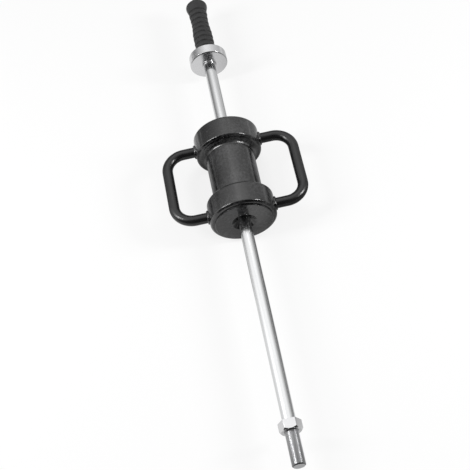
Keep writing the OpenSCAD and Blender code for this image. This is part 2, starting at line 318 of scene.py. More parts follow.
def spun(name, outline, finish, sides, closed=True, skin=None):
    """The outline's (x, r) points turned about the rod's axis. Points on the axis become poles.

    skin gives each outline point a number, stored on its vertices for the geometry trees.
    """
    verts = []
    rings = []
    values = []
    for i, (x, r) in enumerate(outline):
        start = len(verts)
        if r < ON_AXIS:
            verts.append((x, 0, 0))
            rings.append([start] * sides)
        else:
            for k in range(sides):
                turn = 2 * math.pi * k / sides
                verts.append((x, r * math.cos(turn), r * math.sin(turn)))
            rings.append(list(range(start, start + sides)))
        values.extend([skin[i] if skin else 0.0] * (len(verts) - start))
    piece = new_piece(name, verts, ring_faces(rings, closed), finish)
    if skin:
        stored = piece.data.attributes.new("skin", "FLOAT", "POINT")
        stored.data.foreach_set("value", values)
    return piece


def lofted(name, rings, finish, closed):
    """A skin over rings of equally many points. A ring of one repeated point is a pole."""
    verts = []
    index = []
    for ring in rings:
        start = len(verts)
        if all((Vector(point) - Vector(ring[0])).length < SAME_POINT for point in ring):
            verts.append(ring[0])
            index.append([start] * len(ring))
        else:
            verts.extend(ring)
            index.append(list(range(start, start + len(ring))))
    return new_piece(name, verts, ring_faces(index, closed), finish)


def towards(turn):
    """The (y, z) direction at a turn round the rod."""
    return Vector((math.cos(turn), math.sin(turn)))


def hexagon(flat_r, rounding):
    """(y, z) points round a hexagon with rounded corners and two flats level."""
    middle_r = (flat_r - rounding) / math.cos(HEX_TURN / 2)
    points = []
    for side in range(6):
        corner_turn = HEX_TURN * side
        middle = towards(corner_turn) * middle_r
        for step in range(HEX_ROUND_STEPS + 1):
            turn = corner_turn + HEX_TURN * (step / HEX_ROUND_STEPS - 0.5)
            points.append(middle + towards(turn) * rounding)
        next_middle = towards(corner_turn + HEX_TURN) * middle_r
        out = towards(corner_turn + HEX_TURN / 2) * rounding
        for step in range(1, HEX_SIDE_STEPS):
            points.append(middle.lerp(next_middle, step / HEX_SIDE_STEPS) + out)
    return points


def circle(x, r, edge):
    """A round ring with its points in the directions of a hexagon's."""
    ways = [point.normalized() for point in edge]
    return [(x, way.x * r, way.y * r) for way in ways]


def hex_ring(x, edge, face_r=0.0, slope=0.0):
    """A ring round a hexagon. With a slope, its corners fall back from a round face at x."""
    return [(x + (point.length - face_r) * slope, point.x, point.y) for point in edge]


def baked(piece):
    """Turns the piece's modifiers into its own plain mesh."""
    evaluated = piece.evaluated_get(bpy.context.evaluated_depsgraph_get())
    mesh = bpy.data.meshes.new_from_object(evaluated)
    piece.modifiers.clear()
    piece.data = mesh
    return piece


def bevelled(piece, width):
    """Rounds the piece's sharp edges and leaves a plain mesh."""
    modifier = piece.modifiers.new("edge_round", "BEVEL")
    modifier.width = width
    modifier.segments = 2
    modifier.limit_method = "ANGLE"
    modifier.angle_limit = SHARP_ANGLE
    modifier.harden_normals = True
    return baked(piece)


# Node helpers


def feed(tree, value, socket):
    """Gives a socket a number, or links another node's output to it."""
    if isinstance(value, bpy.types.NodeSocket):
        tree.links.new(value, socket)
    else:
        socket.default_value = value


def add(tree, kind, inputs=None, **settings):
    """Adds a node, and feeds its inputs with numbers or with other nodes' outputs."""
    node = tree.nodes.new(kind)
    for name, value in settings.items():
        setattr(node, name, value)
    for key, value in (inputs or {}).items():
        feed(tree, value, node.inputs[key])
    return node


def maths(tree, operation, *values):
    """One maths node's result."""
    return add(tree, "ShaderNodeMath", dict(enumerate(values)), operation=operation).outputs[0]


def total(tree, first, *others):
    """The sum of some values."""
    for value in others:
        first = maths(tree, "ADD", first, value)
    return first


def product(tree, first, *others):
    """Some values multiplied together."""
    for value in others:
        first = maths(tree, "MULTIPLY", first, value)
    return first


def less(tree, value, taken):
    """One value less another."""
    return maths(tree, "SUBTRACT", value, taken)


def separate(tree, place):
    """A place's x, y and z."""
    return add(tree, "ShaderNodeSeparateXYZ", {0: place}).outputs


def length_of(tree, across, up):
    """The length of a line from its two sides."""
    return maths(tree, "SQRT", total(tree, product(tree, across, across), product(tree, up, up)))


def turn_of(tree, opposite, adjacent):
    """An angle in whole turns, from -0.5 to 0.5."""
    return maths(tree, "DIVIDE", maths(tree, "ARCTAN2", opposite, adjacent), 2 * math.pi)


def ramp(tree, value, from_low, from_high, to_low=0.0, to_high=1.0, kind="LINEAR"):
    """Maps a number from one range to another, held at the ends."""
    limits = {0: value, 1: from_low, 2: from_high, 3: to_low, 4: to_high}
    return add(tree, "ShaderNodeMapRange", limits, interpolation_type=kind, clamp=True).outputs[0]


def blend(tree, share, low, high):
    """The low value where the share is 0, the high one where it is 1."""
    return add(tree, "ShaderNodeMix", {0: share, 2: low, 3: high}).outputs[0]


# Geometry trees


def size_tree(name, sizes):
    """An empty geometry tree with a named number for each size, and the values that it is given."""
    tree = bpy.data.node_groups.new(name, "GeometryNodeTree")
    tree.interface.new_socket("Geometry", in_out="INPUT", socket_type="NodeSocketGeometry")
    for label in sizes:
        tree.interface.new_socket(label, in_out="INPUT", socket_type="NodeSocketFloat")
    tree.interface.new_socket("Finish", in_out="INPUT", socket_type="NodeSocketMaterial")
    tree.interface.new_socket("Geometry", in_out="OUTPUT", socket_type="NodeSocketGeometry")
    return tree, tree.nodes.new("NodeGroupInput").outputs


def close_tree(tree, geometry, source):
    """Ends a geometry tree in real, finished geometry."""
    real = add(tree, "GeometryNodeRealizeInstances", {0: geometry}).outputs[0]
    shaded = add(tree, "GeometryNodeSetMaterial", {"Geometry": real, "Material": source["Finish"]})
    tree.links.new(shaded.outputs[0], tree.nodes.new("NodeGroupOutput").inputs[0])


def grown(piece, tree, finish, **sizes):
    """Runs a geometry tree on the piece and leaves its result as a plain mesh."""
    modifier = piece.modifiers.new(tree.name, "NODES")
    modifier.node_group = tree
    values = {label.replace("_", " ").capitalize(): value for label, value in sizes.items()}
    values["Finish"] = finish
    for item in tree.interface.items_tree:
        if item.in_out == "INPUT" and item.name in values:
            modifier[item.identifier] = values[item.name]
    baked(piece)
    smooth(piece.data)
    return piece


def own_place(tree):
    """Each point's own place, in a geometry tree."""
    return tree.nodes.new("GeometryNodeInputPosition").outputs[0]


def skin_value(tree):
    """The number that spun stored on each point, in a geometry tree."""
    kind = "GeometryNodeInputNamedAttribute"
    return add(tree, kind, {"Name": "skin"}, data_type="FLOAT").outputs[0]


def moved_to_radius(tree, geometry, place, reach, new_reach):
    """Sets each point's distance from the rod's axis."""
    x, y, z = place
    grow = maths(tree, "DIVIDE", new_reach, maths(tree, "MAXIMUM", reach, 0.01 * MM))
    moved = add(tree, "ShaderNodeCombineXYZ", {
        0: x, 1: product(tree, y, grow), 2: product(tree, z, grow),
    }).outputs[0]
    ends = {"Geometry": geometry, "Position": moved}
    return add(tree, "GeometryNodeSetPosition", ends).outputs[0]


def thread_tree():
    """Cuts a right-hand thread into a bar along X."""
    tree, source = size_tree("thread_cutter", ["Crest radius", "Depth", "Pitch", "End", "Runout"])
    x, y, z = separate(tree, own_place(tree))
    reach = length_of(tree, y, z)
    pitches = less(tree, maths(tree, "DIVIDE", x, source["Pitch"]), turn_of(tree, z, y))
    off_middle = less(tree, maths(tree, "FRACT", pitches), 0.5)
    from_crest = product(tree, maths(tree, "ABSOLUTE", off_middle), 2.0)
    groove = ramp(tree, from_crest, *THREAD_FLANK)
    runout_x = less(tree, source["End"], source["Runout"])
    fade = ramp(tree, x, runout_x, source["End"], 1.0, 0.0)
    depth = product(tree, source["Depth"], groove, fade)
    on_thread = maths(tree, "LESS_THAN", x, source["End"])
    cut = maths(tree, "MINIMUM", reach, less(tree, source["Crest radius"], depth))
    kept = product(tree, reach, less(tree, 1.0, on_thread))
    new_reach = total(tree, product(tree, cut, on_thread), kept)
    close_tree(tree, moved_to_radius(tree, source["Geometry"], (x, y, z), reach, new_reach), source)
    return tree


def groove_tree():
    """Cuts evenly spaced ring grooves into a grip, and crowns the bands between them."""
    sizes = ["First", "Pitch", "Count", "Width", "Depth", "Crown"]
    tree, source = size_tree("grip_grooves", sizes)
    x, y, z = separate(tree, own_place(tree))
    reach = length_of(tree, y, z)
    skin = skin_value(tree)
    place = maths(tree, "DIVIDE", less(tree, x, source["First"]), source["Pitch"])
    last = less(tree, source["Count"], 1.0)
    nearest = maths(tree, "MAXIMUM", maths(tree, "ROUND", place), 0.0)
    nearest = maths(tree, "MINIMUM", nearest, last)
    gap = product(tree, maths(tree, "ABSOLUTE", less(tree, place, nearest)), source["Pitch"])
    half_width = product(tree, source["Width"], 0.5)
    half_pitch = product(tree, source["Pitch"], 0.5)
    valley = product(tree, ramp(tree, gap, 0.0, half_width, 1.0, 0.0, "SMOOTHSTEP"), skin)
    shoulder = ramp(tree, gap, half_width, half_pitch, 1.0, 0.0, "SMOOTHSTEP")
    groove = product(tree, valley, source["Depth"])
    crown = product(tree, shoulder, source["Crown"], skin)
    new_reach = less(tree, reach, total(tree, groove, crown))
    # The valley share is stored so that the rubber can paint shade into its grooves.
    marked = add(tree, "GeometryNodeStoreNamedAttribute", {
        "Geometry": source["Geometry"], "Name": "valley", "Value": valley,
    }, data_type="FLOAT", domain="POINT").outputs[0]
    close_tree(tree, moved_to_radius(tree, marked, (x, y, z), reach, new_reach), source)
    return tree


def ripple_tree():
    """Raises the overlapping ripples of a hand-laid weld round a bead."""
    tree, source = size_tree("weld_ripples", ["Count", "Height", "Bow"])
    place = own_place(tree)
    y, z = separate(tree, place)[1:]
    skin = skin_value(tree)
    inside = less(tree, skin, 0.5)
    bow = product(tree, inside, inside, source["Bow"])
    uneven = add(tree, "ShaderNodeTexNoise", {
        "Vector": place, "Scale": UNEVEN_SCALE, "Detail": 1.0,
    }).outputs[0]
    laid = product(tree, turn_of(tree, z, y), source["Count"])
    phase = maths(tree, "FRACT", total(tree, laid, bow, product(tree, uneven, UNEVEN_SHARE)))
    scale_edge = less(tree, 1.0, maths(tree, "POWER", phase, RIPPLE_CURVE))
    # 1 in the middle of the weld's face and 0 at its sides. The hidden points are below 0.
    across = product(tree, skin, less(tree, 1.0, skin), 4.0)
    height = product(tree, scale_edge, maths(tree, "MAXIMUM", across, 0.0), source["Height"])
    rise = add(tree, "ShaderNodeVectorMath", {
        0: tree.nodes.new("GeometryNodeInputNormal").outputs[0], "Scale": height,
    }, operation="SCALE").outputs[0]
    raised = add(tree, "GeometryNodeSetPosition", {"Geometry": source["Geometry"], "Offset": rise})
    close_tree(tree, raised.outputs[0], source)
    return tree


def bar_tree():
    """Bends a round bar along a path of straight lines."""
    tree, source = size_tree("bent_bar", ["Bar radius", "Bend radius", "Bend steps", "Sides"])
    path = add(tree, "GeometryNodeMeshToCurve", {0: source["Geometry"]}).outputs[0]
    bent = add(tree, "GeometryNodeFilletCurve", {
        "Curve": path, "Count": source["Bend steps"], "Radius": source["Bend radius"],
    }, mode="POLY").outputs[0]
    section = add(tree, "GeometryNodeCurvePrimitiveCircle", {
        "Resolution": source["Sides"], "Radius": source["Bar radius"],
    }).outputs[0]
    bar = add(tree, "GeometryNodeCurveToMesh", {
        "Curve": bent, "Profile Curve": section, "Fill Caps": True,
    }).outputs[0]
    close_tree(tree, bar, source)
    return tree


# Finishes

# Where most of a noise's values lie
CLOUD_RANGE = (0.3, 0.7)
TURNING_MARKS = 3500


def new_finish(name):
    """A material, its tree, its main shader and the object's own coordinates."""
    material = bpy.data.materials.new(name)
    material.use_nodes = True
    tree = material.node_tree
    shader = tree.nodes["Principled BSDF"]
    place = tree.nodes.new("ShaderNodeTexCoord").outputs["Object"]
    return material, tree, shader, place


def noise(tree, place, scale, detail=3.0, stretch=(1, 1, 1)):
    """A noise value, with the pattern stretched by the given factors."""
    mapped = add(tree, "ShaderNodeMapping", {"Vector": place, "Scale": stretch}).outputs[0]
    sizes = {"Vector": mapped, "Scale": scale, "Detail": detail}
    return add(tree, "ShaderNodeTexNoise", sizes).outputs[0]


def colours(tree, share, low, high):
    """A colour between two, by a share from 0 to 1. Each is three numbers or a node's colour."""
    node = add(tree, "ShaderNodeMix", {0: share}, data_type="RGBA")
    for socket, colour in ((6, low), (7, high)):
        linked = isinstance(colour, bpy.types.NodeSocket)
        feed(tree, colour if linked else (*colour, 1), node.inputs[socket])
    return node.outputs[2]


def clouded(tree, cloud, low, high):
    """A number that follows a cloud of noise."""
    return ramp(tree, cloud, *CLOUD_RANGE, low, high)


def coat(tree, shader, colour, roughness, metallic=0.0):
    """Gives a shader its colour, its roughness, and whether it is metal."""
    feed(tree, colour, shader.inputs["Base Color"])
    feed(tree, roughness, shader.inputs["Roughness"])
    shader.inputs["Metallic"].default_value = metallic


def bump(tree, shader, height, depth):
    """Feeds a height to the shader's normal."""
    node = add(tree, "ShaderNodeBump", {"Height": height, "Strength": 1.0, "Distance": depth})
    tree.links.new(node.outputs[0], shader.inputs["Normal"])


def polished_bar():
    """Ground and polished bar, with fine marks round it, painted shade in the thread valleys and
    the thread painted darker towards its end.
    """
    material, tree, shader, place = new_finish("polished_bar")
    x, y, z = separate(tree, place)
    reach = length_of(tree, y, z)
    marks = noise(tree, place, 500, 2.0, (6, 0.4, 0.4))
    wear = noise(tree, place, 9, 3.0, (1, 4, 4))
    # Painted shade: the thread's valleys, and the whole thread more and more towards its end, are
    # painted darker. This stands in for the shade in the valleys and a darker reflection near the
    # end.
    valley = ramp(tree, reach, THREAD_R - THREAD_DEPTH, THREAD_R - CLOSE, 1.0, 0.0)
    painted_end_shade = ramp(tree, x, 0.0, 40 * MM, 0.62, 0.34)
    threaded = maths(tree, "LESS_THAN", x, NUT_TOP_X)
    past_face = maths(tree, "GREATER_THAN", x, CLOSE)
    dark = product(tree, maths(tree, "MAXIMUM", valley, painted_end_shade), threaded, past_face)
    bright = colours(tree, wear, (0.58, 0.585, 0.59), (0.68, 0.685, 0.69))
    end_wear = ramp(tree, x, 1.0 * MM, 2.5 * MM, 0.24, 0.12)
    rough = total(tree, clouded(tree, wear, 0.14, 0.20), product(tree, threaded, end_wear))
    coat(tree, shader, colours(tree, dark, bright, (0.14, 0.14, 0.145)), rough, metallic=1.0)
    bump(tree, shader, marks, 0.004 * MM)
    return material


def turned_steel():
    """Bright collar steel with fine turning rings on its faces."""
    material, tree, shader, place = new_finish("turned_steel")
    x, y, z = separate(tree, place)
    reach = length_of(tree, y, z)
    lathe_place = total(tree, product(tree, reach, TURNING_MARKS), product(tree, x, TURNING_MARKS))
    rings = add(tree, "ShaderNodeTexNoise", {"Scale": 1.0, "Detail": 2.0}, noise_dimensions="1D")
    feed(tree, lathe_place, rings.inputs["W"])
    cloud = noise(tree, place, 45, 4.0)
    colour = colours(tree, cloud, (0.56, 0.56, 0.57), (0.66, 0.66, 0.665))
    coat(tree, shader, colour, clouded(tree, cloud, 0.19, 0.28), metallic=1.0)
    bump(tree, shader, rings.outputs[0], 0.006 * MM)
    return material


def plain_metal(name, low, high, roughness, cloud_scale=80, grain_scale=600):
    """Plated or machined metal with a light cloud of tone and a faint grain."""
    material, tree, shader, place = new_finish(name)
    cloud = noise(tree, place, cloud_scale)
    colour = colours(tree, cloud, low, high)
    coat(tree, shader, colour, clouded(tree, cloud, *roughness), metallic=1.0)
    bump(tree, shader, noise(tree, place, grain_scale, 2.0), 0.01 * MM)
    return material


def plated_steel():
    """Bright plated steel with a faint orange skin."""
    low, high = (0.57, 0.57, 0.58), (0.66, 0.66, 0.665)
    return plain_metal("plated_steel", low, high, (0.12, 0.20), cloud_scale=60, grain_scale=700)


def black_paint():
    """Semi-gloss black paint with a fine grain, a little uneven in tone."""
    material, tree, shader, place = new_finish("black_paint")
    cloud = noise(tree, place, 22, 4.0)
    grain = noise(tree, place, 1000, 2.0)
    peel = noise(tree, place, 280, 2.0)
    mottle = ramp(tree, total(tree, cloud, peel), 0.92, 1.22)
    colour = colours(tree, mottle, (0.001, 0.001, 0.0012), (0.028, 0.028, 0.029))
    coat(tree, shader, colour, ramp(tree, cloud, 0.35, 0.65, 0.20, 0.34))
    shader.inputs["Specular IOR Level"].default_value = 0.35
    shader.inputs["Coat Weight"].default_value = 0.8
    shader.inputs["Coat Roughness"].default_value = 0.12
    bump(tree, shader, total(tree, product(tree, grain, 0.15), peel), 0.32 * MM)
    return material


def handle_enamel():
    """Smooth gloss black enamel."""
    material, tree, shader, place = new_finish("handle_enamel")
    cloud = noise(tree, place, 35)
    colour = colours(tree, cloud, (0.004, 0.004, 0.0045), (0.009, 0.009, 0.0095))
    coat(tree, shader, colour, clouded(tree, cloud, 0.24, 0.32))
    bump(tree, shader, noise(tree, place, 320, 2.0), 0.08 * MM)
    return material


def grip_rubber():
    """Matt moulded rubber with a fine stipple, with painted shade in its grooves."""
    material, tree, shader, place = new_finish("grip_rubber")
    stipple = add(tree, "ShaderNodeTexVoronoi", {"Vector": place, "Scale": 900.0})
    cloud = noise(tree, place, 40, 4.0)
    skin = colours(tree, cloud, (0.020, 0.020, 0.0205), (0.035, 0.035, 0.0355))
    # Painted shade: the grooves' valleys are painted near black, for the shade that falls in them.
    valley = add(tree, "ShaderNodeAttribute", attribute_name="valley").outputs["Fac"]
    colour = colours(tree, valley, skin, (0.0015, 0.0015, 0.0015))
    coat(tree, shader, colour, clouded(tree, cloud, 0.50, 0.66))
    shader.inputs["Specular IOR Level"].default_value = 0.35
    bump(tree, shader, stipple.outputs["Distance"], 0.05 * MM)
    return material


def core_plastic():
    """The grip's hard grey core."""
    material, tree, shader, place = new_finish("core_plastic")
    cloud = noise(tree, place, 50)
    colour = colours(tree, cloud, (0.16, 0.16, 0.17), (0.22, 0.22, 0.23))
    coat(tree, shader, colour, clouded(tree, cloud, 0.45, 0.55))
    return material


# Pieces on the rod


def make_rod(finish):
    """The bar with its cut thread, relief groove, shank, collar spigot, tang and stud."""
    ring_step = THREAD_PITCH / RINGS_PER_PITCH
    end_x = NUT_TOP_X - RELIEF_LENGTH
    rim = (0, THREAD_R - THREAD_CHAMFER)
    crest = (THREAD_CHAMFER, THREAD_R)
    face = [(0, 0), (0, FACE_SHARE * rim[1])]
    chamfer = stepped(rim, crest, int(THREAD_CHAMFER / ring_step))
    thread = stepped(crest, (end_x, THREAD_R), int((end_x - THREAD_CHAMFER) / ring_step))
    shoulder_x = NUT_TOP_X + SHOULDER_GAP
    stud_end_x = ROD_END_X - STUD_SHORT
    rest = softened([
        (end_x + THREAD_R - RELIEF_R, RELIEF_R, 0.4 * MM), (shoulder_x, RELIEF_R, 0),
        (shoulder_x, ROD_R - SHOULDER_CHAMFER, 0),
        (shoulder_x + SHOULDER_CHAMFER, ROD_R, 0.3 * MM),
        (HUB_X, ROD_R, 0), (HUB_X, SPIGOT_R, 0), (JAM_TOP_X, SPIGOT_R, 0), (JAM_TOP_X, TANG_R, 0),
        (GRIP_END_X, TANG_R, 0), (GRIP_END_X, STUD_R, 0),
        (stud_end_x, STUD_R, 0), (stud_end_x, 0, 0),
    ], closed=False)
    outline = face + chamfer + thread + [(end_x, THREAD_R)] + rest
    rod = spun("rod_bar", outline, finish, ROD_SIDES, closed=False)
    return grown(rod, thread_tree(), finish, crest_radius=THREAD_R, depth=THREAD_DEPTH,
                 pitch=THREAD_PITCH, end=end_x, runout=THREAD_RUNOUT)


def make_lock_nut(finish):
    """A hexagon nut whose corners are cut off only at the end towards the thread's face."""
    edge = hexagon(NUT_FLAT_R, NUT_CORNER_ROUND)
    face_r = HEX_FACE_SHARE * NUT_FLAT_R
    sunk_r = NUT_BORE_R + NUT_SINK
    rings = [
        circle(NUT_X + NUT_SINK, NUT_BORE_R, edge), circle(NUT_X, sunk_r, edge),
        circle(NUT_X, face_r, edge), hex_ring(NUT_X, edge, face_r, CORNER_SLOPE),
        hex_ring(NUT_TOP_X, edge), circle(NUT_TOP_X, face_r, edge),
        circle(NUT_TOP_X, sunk_r, edge), circle(NUT_TOP_X - NUT_SINK, NUT_BORE_R, edge),
    ]
    return bevelled(lofted("lock_nut_hexagon", rings, finish, closed=True), NUT_EDGE_ROUND)


def make_collar(finish):
    """The stop collar with its rounded hub against the rod's shoulder."""
    rim_r = COLLAR_R - COLLAR_CHAMFER
    corners = [
        (HUB_X, SPIGOT_R, 0), (HUB_X, HUB_R, HUB_ROUND), (STRIKE_X, HUB_R, STRIKE_ROUND),
        (STRIKE_X, rim_r, COLLAR_ROUND), (STRIKE_X + COLLAR_CHAMFER, COLLAR_R, COLLAR_ROUND),
        (COLLAR_TOP_X - COLLAR_CHAMFER, COLLAR_R, COLLAR_ROUND),
        (COLLAR_TOP_X, rim_r, COLLAR_ROUND), (COLLAR_TOP_X, SPIGOT_R, 0),
    ]
    return spun("collar_disc", softened(corners), finish, COLLAR_SIDES)


def eased(low, high, share):
    """A value that leaves low and reaches high without a kink."""
    return low + (high - low) * (1 - math.cos(math.pi * share)) / 2


def grip_radius(distance, length):
    """The grip's outer radius at a distance from its root."""
    waist = length - WAIST_FROM_END
    neck = length - BULB_LENGTH
    crown = length - BULB_ROUND
    if distance <= GRIP_STRAIGHT:
        return GRIP_ROOT_R
    if distance <= waist:
        share = (distance - GRIP_STRAIGHT) / (waist - GRIP_STRAIGHT)
        return eased(GRIP_ROOT_R, GRIP_WAIST_R, share)
    if distance <= neck:
        return eased(GRIP_WAIST_R, GRIP_NECK_R, (distance - waist) / (neck - waist))
    return eased(GRIP_NECK_R, BULB_R, (distance - neck) / (crown - neck))


def arc(x, r, radius, start, end, steps):
    """Points round a middle at (x, r), with angles in degrees from straight out towards +X."""
    turns = [math.radians(start + (end - start) * i / steps) for i in range(steps + 1)]
    return [(x + radius * math.sin(turn), r + radius * math.cos(turn)) for turn in turns]


def make_grip(finish):
    """The ribbed rubber grip with its slim waist and end bulb."""
    length = GRIP_END_X - COLLAR_TOP_X
    steps = int((length - BULB_ROUND) / GRIP_STEP)
    root_round = arc(COLLAR_TOP_X + ROOT_ROUND, GRIP_ROOT_R - ROOT_ROUND, ROOT_ROUND,
                     -90, 0, ROOT_ROUND_STEPS)
    distances = [(length - BULB_ROUND) * i / steps for i in range(2, steps + 1)]
    side = [(COLLAR_TOP_X + distance, grip_radius(distance, length)) for distance in distances]
    end_round = arc(GRIP_END_X - BULB_ROUND, BULB_R - BULB_ROUND, BULB_ROUND,
                    0, 90, BULB_ROUND_STEPS)[1:]
    inside = [(GRIP_END_X, CORE_R), (COLLAR_TOP_X, CORE_R)]
    outline = root_round + side + end_round + inside
    skin = [0.0] * len(root_round) + [1.0] * len(side)
    skin += [0.0] * (len(outline) - len(skin))
    grip = spun("grip_sleeve", outline, finish, GRIP_SIDES, skin=skin)
    return grown(grip, groove_tree(), finish, first=COLLAR_TOP_X + GROOVE_FIRST,
                 pitch=GROOVE_PITCH, count=GROOVE_COUNT, width=GROOVE_WIDTH,
                 depth=GROOVE_DEPTH, crown=BAND_CROWN)


def make_end_washer(finish):
    """The plain washer against the grip's end."""
    corners = [
        (GRIP_END_X, STUD_R, 0), (GRIP_END_X, WASHER_R, 0.3 * MM),
        (WASHER_END_X, WASHER_R, 0.5 * MM), (WASHER_END_X, STUD_R, 0),
    ]
    return spun("end_washer_disc", softened(corners), finish, WASHER_SIDES)


def make_end_cap(finish):
    """A cap nut: a hexagon with cut corners under a dome."""
    edge = hexagon(CAP_FLAT_R, CAP_CORNER_ROUND)
    top_x = WASHER_END_X + CAP_HEX_HEIGHT
    dome_r = HEX_FACE_SHARE * CAP_FLAT_R
    dome_height = CAP_END_X - top_x
    rings = [
        circle(WASHER_END_X, 0, edge), circle(WASHER_END_X, dome_r, edge),
        hex_ring(WASHER_END_X, edge), hex_ring(top_x, edge, dome_r, -CORNER_SLOPE),
    ]
    for step in range(DOME_STEPS + 1):
        turn = math.radians(90) * step / DOME_STEPS
        rings.append(circle(top_x + dome_height * math.sin(turn), dome_r * math.cos(turn), edge))
    return bevelled(lofted("end_cap_hexagon", rings, finish, closed=False), CAP_EDGE_ROUND)


# Pieces of the sliding weight


def flange_corners():
    """A flange's outline, lower end."""
    rim_r = FLANGE_R - FLANGE_CHAMFER
    return [
        (FLANGE_X, PLATE_R, 0), (FLANGE_X, rim_r, FLANGE_ROUND),
        (FLANGE_X + FLANGE_CHAMFER, FLANGE_R, FLANGE_ROUND),
        (FLANGE_INNER_X - FLANGE_CHAMFER, FLANGE_R, FLANGE_ROUND),
        (FLANGE_INNER_X, rim_r, FLANGE_ROUND),
        (FLANGE_INNER_X, BARREL_R, 0), (PLATE_SEAT_X, BARREL_R, 0), (PLATE_SEAT_X, PLATE_R, 0),
    ]


def end_plate_corners():
    """An end plate's outline, lower end."""
    return [
        (PLATE_X, MOUTH_R, PAINT_ROUND * 2), (PLATE_X, PLATE_R - RIM_CHAMFER, PAINT_ROUND / 2),
        (PLATE_X + RIM_CHAMFER, PLATE_R, PAINT_ROUND / 2), (PLATE_SEAT_X, PLATE_R, 0),
        (PLATE_SEAT_X, PLATE_BORE_R, 0), (MOUTH_FLOOR_X, PLATE_BORE_R, PAINT_ROUND),
    ]


def make_barrel(finish):
    """The weight's middle tube."""
    corners = [(BARREL_X, BARREL_BORE_R), (BARREL_X, BARREL_R),
               (BARREL_END_X, BARREL_R), (BARREL_END_X, BARREL_BORE_R)]
    outline = softened([(*corner, BARREL_ROUND) for corner in corners])
    return spun("barrel_tube", outline, finish, BARREL_SIDES)


def rippled(name, outline, finish, tree, middle_r, bow):
    """A weld turned from its face and then its hidden points, with the ripples of its run."""
    skin = WELD_SHARES + [-1.0] * (len(outline) - len(WELD_SHARES))
    count = round(2 * math.pi * middle_r / RIPPLE_PITCH)
    weld = spun(name, outline, finish, count * RIPPLE_STEPS, skin=skin)
    return grown(weld, tree, finish, count=count, height=RIPPLE_HEIGHT, bow=bow)


def make_barrel_weld(name, finish, tree, at_end):
    """The concave fillet weld between barrel and flange."""
    leg = WELD_END_X - FLANGE_INNER_X
    rise = WELD_OUT_R - BARREL_R
    depth = 1 - math.sin(WELD_TOE)
    section = []
    for share in WELD_SHARES:
        turn = WELD_TOE + (math.pi / 2 - 2 * WELD_TOE) * share
        section.append((FLANGE_INNER_X + leg * (1 - math.cos(turn)) / depth,
                        BARREL_R + rise * (1 - math.sin(turn)) / depth))
    buried_x = FLANGE_INNER_X - WELD_BURY
    buried_r = BARREL_R - WELD_BURY
    hidden = [(section[-1][0], buried_r), (buried_x, buried_r), (buried_x, section[0][1])]
    return rippled(name, at_end(section + hidden), finish, tree, BARREL_R + rise / 2, WELD_BOW)


def make_handle_bead(name, finish, tree, arm_x, side):
    """The weld bead round a handle's arm, seated on the flange's round side."""
    section = []
    for share in WELD_SHARES:
        turn = math.pi / 2 * share
        section.append((BEAD_SIZE * math.sin(turn) ** BEAD_FULLNESS,
                        BAR_R + BEAD_SIZE * max(math.cos(turn), 0) ** BEAD_FULLNESS))
    buried_r = BAR_R - WELD_BURY
    hidden = [(BEAD_SIZE, buried_r), (-BEAD_ROOT, buried_r), (-BEAD_ROOT, BAR_R + BEAD_SIZE)]
    bead = rippled(name, section + hidden, finish, tree, BAR_R + BEAD_SIZE / 2, BEAD_BOW)
    for vertex in bead.data.vertices:
        height, across, up = vertex.co
        saddle = math.sqrt(FLANGE_R ** 2 - up ** 2)
        vertex.co = (arm_x + side * across, side * (saddle + height), up)
    # The move above swaps two axes, which turns the faces inwards.
    bead.data.flip_normals()
    smooth(bead.data)
    return bead


def make_handle(name, finish, tree, side):
    """A round bar bent into a D, from one flange's side to the other's."""
    start = FLANGE_R - HANDLE_SEAT
    path = [(ARM_LOWER_X, side * start, 0), (ARM_LOWER_X, side * HANDLE_REACH, 0),
            (ARM_UPPER_X, side * HANDLE_REACH, 0), (ARM_UPPER_X, side * start, 0)]
    mesh = bpy.data.meshes.new(name)
    mesh.from_pydata(path, [(0, 1), (1, 2), (2, 3)], [])
    handle = bpy.data.objects.new(name, mesh)
    bpy.context.scene.collection.objects.link(handle)
    return grown(handle, tree, finish, bar_radius=BAR_R, bend_radius=HANDLE_BEND,
                 bend_steps=BEND_STEPS, sides=BAR_SIDES)


def place_piece(piece, body, *nodes, slot):
    """Puts a finished piece under its body and hides the solids that it stands for."""
    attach(piece, body)
    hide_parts(*nodes)


def dress_rod(bar, plated, collar, rubber):
    """Makes the rod's pieces and the lock nut, in their finishes."""
    place_piece(make_rod(bar), "rod", "rod", slot="polished_steel")
    place_piece(make_lock_nut(plated), "lock_nut", "lock_nut", slot="plated_steel")
    place_piece(make_collar(collar), "rod", "stop_collar", slot="plated_steel")
    place_piece(make_grip(rubber), "rod", "grip", slot="grip_rubber")
    place_piece(make_end_washer(plated), "rod", "end_washer", slot="plated_steel")
    place_piece(make_end_cap(plated), "rod", "end_cap_nut", slot="plated_steel")


def dress_weight(paint, enamel):
    """Makes the sliding weight's pieces, in their finishes."""
    place_piece(make_barrel(paint), "weight", "barrel", slot="black_paint")
    ends = {"lower": lambda outline: outline, "upper": mirrored}
    ripples = ripple_tree()
    for end, at_end in ends.items():
        outline = softened(at_end(flange_corners()))
        flange = spun(f"flange_{end}_ring", outline, paint, FLANGE_SIDES)
        place_piece(flange, "weight", f"flange_{end}", slot="black_paint")
        outline = softened(at_end(end_plate_corners()))
        plate = spun(f"end_plate_{end}_disc", outline, paint, FLANGE_SIDES)
        place_piece(plate, "weight", f"end_plate_{end}", slot="black_paint")
        weld = make_barrel_weld(f"barrel_weld_{end}_run", paint, ripples, at_end)
        place_piece(weld, "weight", f"barrel_weld_{end}", slot="black_paint")
    bars = bar_tree()
    arms = {"lower": ARM_LOWER_X, "upper": ARM_UPPER_X}
    for hand, side in {"left": 1, "right": -1}.items():
        handle = make_handle(f"handle_{hand}_bar", enamel, bars, side)
        place_piece(handle, "weight", f"handle_{hand}", slot="handle_black")
        for end, arm_x in arms.items():
            name = f"handle_weld_{hand}_{end}"
            bead = make_handle_bead(f"{name}_bead", paint, ripples, arm_x, side)
            place_piece(bead, "weight", name, slot="black_paint")


